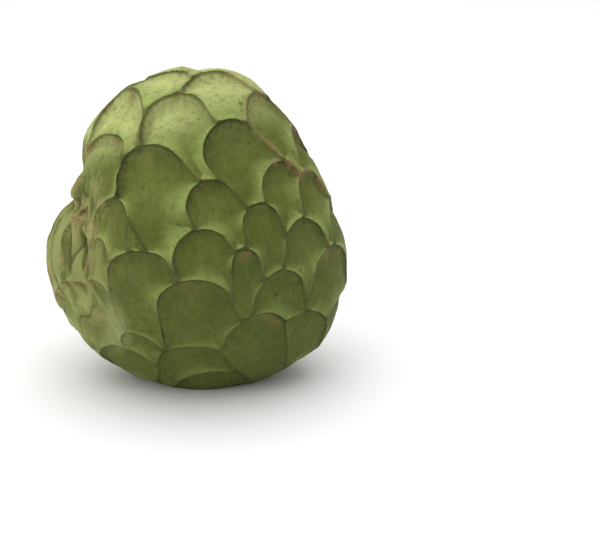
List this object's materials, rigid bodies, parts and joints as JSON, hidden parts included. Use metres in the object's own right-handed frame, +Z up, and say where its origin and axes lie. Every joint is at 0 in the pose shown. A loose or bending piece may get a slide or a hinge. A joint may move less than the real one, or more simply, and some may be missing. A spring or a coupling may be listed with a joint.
{
  "type": "whole custard apple fruit",
  "caption": "Whole heart-shaped green fruit with overlapping thumb-print scales over its skin, standing on its broad stem end, with a short cut stalk in the hollow beneath.",
  "frame": {"origin": "on the surface the fruit stands on, under the middle of its outline", "axes": "+Z up, from the broad stem end towards the apex; -Y is the front, the side seen in the reference; +X is to the right seen from the front"},
  "size_m": [0.0907, 0.082, 0.0942],
  "materials": {
    "skin": "waxy matte olive-green fruit skin, paler at the apex, with dark lines under the scales' arches and tan scuffed ridges",
    "bark": "dry brown woody stalk with a paler cut end"
  },
  "bodies": {
    "root": {"fruit": "skin", "stem_stub": "bark"}
  },
  "joints": []
}
